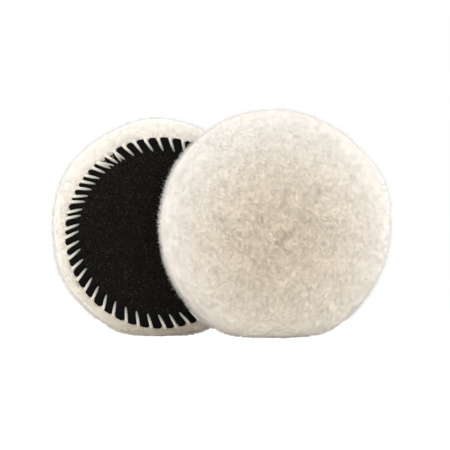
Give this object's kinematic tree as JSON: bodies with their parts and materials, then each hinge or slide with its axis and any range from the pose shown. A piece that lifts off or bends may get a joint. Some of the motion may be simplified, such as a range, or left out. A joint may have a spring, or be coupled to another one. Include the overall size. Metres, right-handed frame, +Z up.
{
  "type": "polishing pad",
  "caption": "Round lambswool polishing pads with black looped-fabric backs whip-stitched round the edge, standing on edge back to back.",
  "frame": {"origin": "on the floor under the middle of the pair", "axes": "+Z up; +X from the rear pad towards the front pad; the rear pad's loop face and the front pad's wool look along -Y"},
  "size_m": [0.269, 0.0836, 0.176],
  "materials": {
    "loop_pile": "matte",
    "knitted_cloth": "matte",
    "soft_foam": "matte",
    "sheepskin_leather": "matte",
    "lambswool": "matte",
    "white_thread": "satin"
  },
  "bodies": {
    "rear_pad": {"rear_loop_face": "loop_pile", "rear_ground_cloth": "knitted_cloth", "rear_foam_lining": "soft_foam", "rear_hide": "sheepskin_leather", "rear_wool_pile": "lambswool", "rear_edge_stitches": "white_thread", "rear_lock_stitches": "white_thread"},
    "front_pad": {"front_loop_face": "loop_pile", "front_ground_cloth": "knitted_cloth", "front_foam_lining": "soft_foam", "front_hide": "sheepskin_leather", "front_wool_pile": "lambswool", "front_edge_stitches": "white_thread", "front_lock_stitches": "white_thread"}
  },
  "joints": [
    {"name": "front_pad_pull_away", "type": "slide", "parent": "rear_pad", "child": "front_pad", "axis": [0, -1, 0], "range_m": [0, 0.15]}
  ]
}
